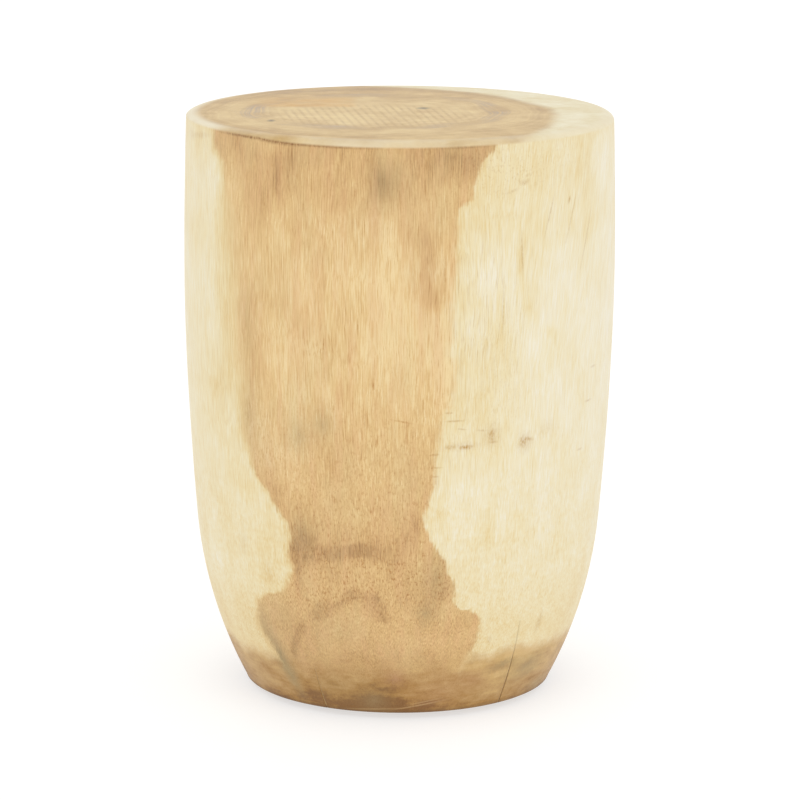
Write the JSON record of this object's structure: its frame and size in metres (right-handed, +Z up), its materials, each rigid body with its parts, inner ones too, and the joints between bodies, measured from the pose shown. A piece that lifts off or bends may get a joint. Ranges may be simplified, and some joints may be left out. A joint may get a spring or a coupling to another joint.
{
  "type": "stool table",
  "caption": "Round log stool or side table: a solid two-tone hardwood trunk with near-straight sides, an eased flat top and a foot drawn in below, standing on felt glides.",
  "frame": {"origin": "on the floor, under the trunk's axis", "axes": "+Z up along the trunk's axis, -Y towards the front, +X to the right as seen from the front"},
  "size_m": [0.337, 0.3368, 0.457],
  "materials": {
    "two_tone_hardwood": "satin",
    "check_filler": "matt",
    "glide_plastic": "moulded",
    "glide_felt": "needled felt",
    "glide_nail": "zinc plated"
  },
  "bodies": {
    "root": {"log_body": "two_tone_hardwood", "check_filler_left": "check_filler", "check_filler_right": "check_filler", "glide_cup_front_right": "glide_plastic", "glide_felt_front_right": "glide_felt", "glide_nail_front_right": "glide_nail", "glide_cup_rear_right": "glide_plastic", "glide_felt_rear_right": "glide_felt", "glide_nail_rear_right": "glide_nail", "glide_cup_rear_left": "glide_plastic", "glide_felt_rear_left": "glide_felt", "glide_nail_rear_left": "glide_nail", "glide_cup_front_left": "glide_plastic", "glide_felt_front_left": "glide_felt", "glide_nail_front_left": "glide_nail"}
  },
  "joints": []
}
